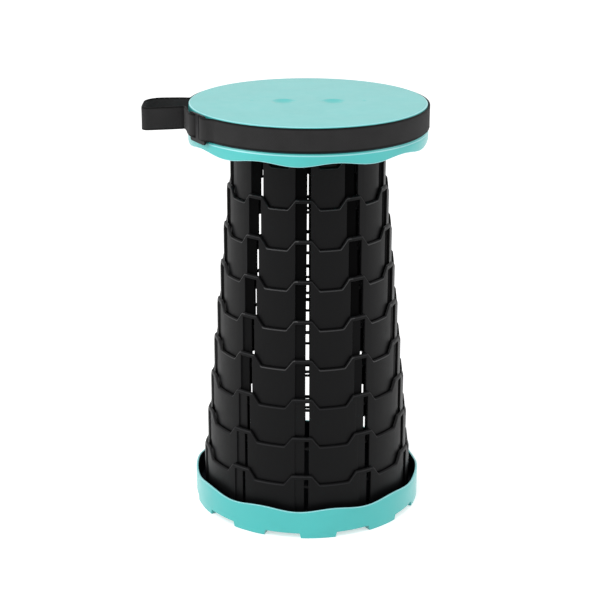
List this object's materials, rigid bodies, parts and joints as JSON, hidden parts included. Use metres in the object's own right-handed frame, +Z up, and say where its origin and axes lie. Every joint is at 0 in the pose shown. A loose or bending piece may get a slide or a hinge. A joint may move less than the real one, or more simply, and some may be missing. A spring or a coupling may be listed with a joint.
{
  "type": "collapsible telescopic stool",
  "caption": "Round stool on a column of nested plastic rings that slide into each other and twist to lock, with a wide flat seat, a tray-like base and a webbing strap with a carrying loop.",
  "frame": {"origin": "middle of the base's underside, on the floor", "axes": "+Z up along the column, -Y towards the viewer of the picture, the carrying loop towards -X"},
  "size_m": [0.3032, 0.2572, 0.45],
  "materials": {
    "ring_plastic": "satin black moulded plastic",
    "teal_plastic": "satin teal moulded plastic",
    "webbing": "woven dark grey webbing",
    "slider_plastic": "satin black moulded plastic"
  },
  "bodies": {
    "base": {"base": "teal_plastic"},
    "ring_10": {"ring_10": "ring_plastic"},
    "ring_09": {"ring_09": "ring_plastic"},
    "ring_08": {"ring_08": "ring_plastic"},
    "ring_07": {"ring_07": "ring_plastic"},
    "ring_06": {"ring_06": "ring_plastic"},
    "ring_05": {"ring_05": "ring_plastic"},
    "ring_04": {"ring_04": "ring_plastic"},
    "ring_03": {"ring_03": "ring_plastic"},
    "ring_02": {"ring_02": "ring_plastic"},
    "seat_unit": {"ring_01": "ring_plastic", "seat": "teal_plastic", "strap": "webbing", "strap_slider": "slider_plastic"}
  },
  "joints": [
    {"name": "base_twist_lock", "type": "hinge", "parent": "base", "child": "ring_10", "pos_m": [0, 0, 0], "axis": [0, 0, 1], "range_deg": [0, 3.6]},
    {"name": "slide_of_ring_09", "type": "slide", "parent": "ring_10", "child": "ring_09", "axis": [0, 0, -1], "range_m": [0, 0.0424]},
    {"name": "slide_of_ring_08", "type": "slide", "parent": "ring_09", "child": "ring_08", "axis": [0, 0, -1], "range_m": [0, 0.0424]},
    {"name": "slide_of_ring_07", "type": "slide", "parent": "ring_08", "child": "ring_07", "axis": [0, 0, -1], "range_m": [0, 0.0424]},
    {"name": "slide_of_ring_06", "type": "slide", "parent": "ring_07", "child": "ring_06", "axis": [0, 0, -1], "range_m": [0, 0.0424]},
    {"name": "slide_of_ring_05", "type": "slide", "parent": "ring_06", "child": "ring_05", "axis": [0, 0, -1], "range_m": [0, 0.0424]},
    {"name": "slide_of_ring_04", "type": "slide", "parent": "ring_05", "child": "ring_04", "axis": [0, 0, -1], "range_m": [0, 0.0424]},
    {"name": "slide_of_ring_03", "type": "slide", "parent": "ring_04", "child": "ring_03", "axis": [0, 0, -1], "range_m": [0, 0.0424]},
    {"name": "slide_of_ring_02", "type": "slide", "parent": "ring_03", "child": "ring_02", "axis": [0, 0, -1], "range_m": [0, 0.0424]},
    {"name": "slide_of_ring_01", "type": "slide", "parent": "ring_02", "child": "seat_unit", "axis": [0, 0, -1], "range_m": [0, 0.0381]}
  ]
}
